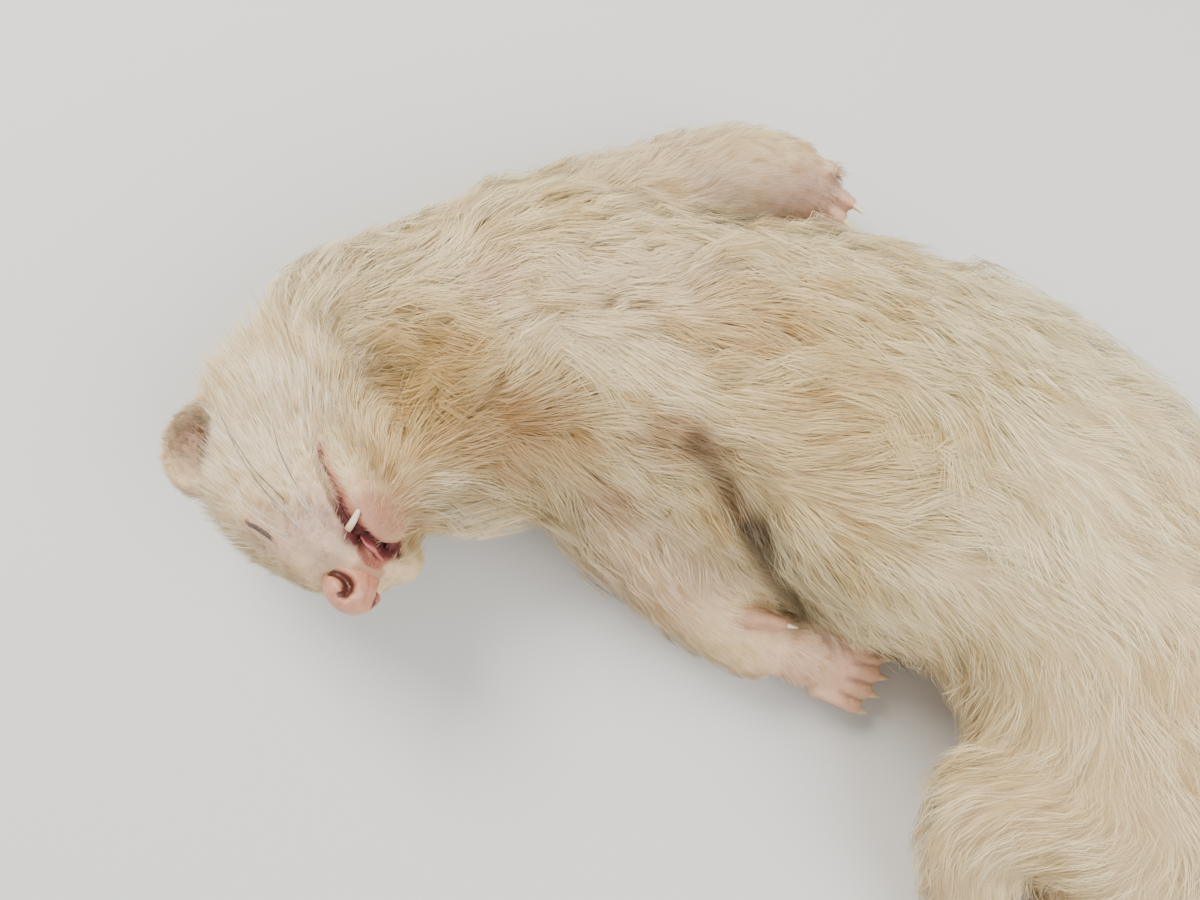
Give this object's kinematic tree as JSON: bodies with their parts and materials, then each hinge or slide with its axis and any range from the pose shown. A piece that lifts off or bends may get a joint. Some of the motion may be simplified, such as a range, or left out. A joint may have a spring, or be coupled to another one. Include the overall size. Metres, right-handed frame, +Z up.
{
  "type": "ferret",
  "caption": "Life-size still model of a ferret asleep on its back, body curled to its right, head turned to its left, mouth ajar, forelegs slack and tail laid round.",
  "frame": {"origin": "under the middle of the animal's box, on the plane that it lies on", "axes": "+Z up, out of the belly; the head lies at -X, the belly curves round from +X to -Y, and the tail ends at -Y; +Y is the animal's left flank"},
  "size_m": [0.2824, 0.294, 0.0659],
  "materials": {
    "cream": "short cream-white fur, matt",
    "tan": "longer cream to yellowish-tan fur, matt",
    "paw": "thin whitish fur over pink skin, matt",
    "nose": "smooth bare salmon-pink skin, slightly moist",
    "lid": "bare greyish-pink eyelid edge",
    "tongue": "moist pink flesh",
    "tooth": "pale yellow enamel, glossy",
    "claw": "pale horn, satin"
  },
  "bodies": {
    "root": {"head": "cream", "jaw": "cream", "nose": "nose", "tongue": "tongue", "canine_left": "tooth", "eye_left": "lid", "eye_right": "lid", "ear_left": "cream", "ear_right": "cream", "neck": "tan", "chest": "tan", "belly": "tan", "hips": "tan", "arm_upper_left": "tan", "arm_upper_right": "tan", "foot_left": "paw", "foot_right": "paw", "forearm_left": "paw", "forearm_right": "paw", "paw_left": "paw", "paw_right": "paw", "shank_left": "paw", "shank_right": "paw", "thigh_left": "tan", "thigh_right": "tan", "tail_base": "cream", "tail_mid": "cream", "tail_tip": "cream", "claw_foot_left_1": "claw", "claw_foot_left_2": "claw", "claw_foot_left_3": "claw", "claw_foot_left_4": "claw", "claw_foot_left_5": "claw", "claw_foot_right_1": "claw", "claw_foot_right_2": "claw", "claw_foot_right_3": "claw", "claw_foot_right_4": "claw", "claw_foot_right_5": "claw", "claw_paw_left_1": "claw", "claw_paw_left_2": "claw", "claw_paw_left_3": "claw", "claw_paw_left_4": "claw", "claw_paw_left_5": "claw", "claw_paw_right_1": "claw", "claw_paw_right_2": "claw", "claw_paw_right_3": "claw", "claw_paw_right_4": "claw", "claw_paw_right_5": "claw"}
  },
  "joints": []
}
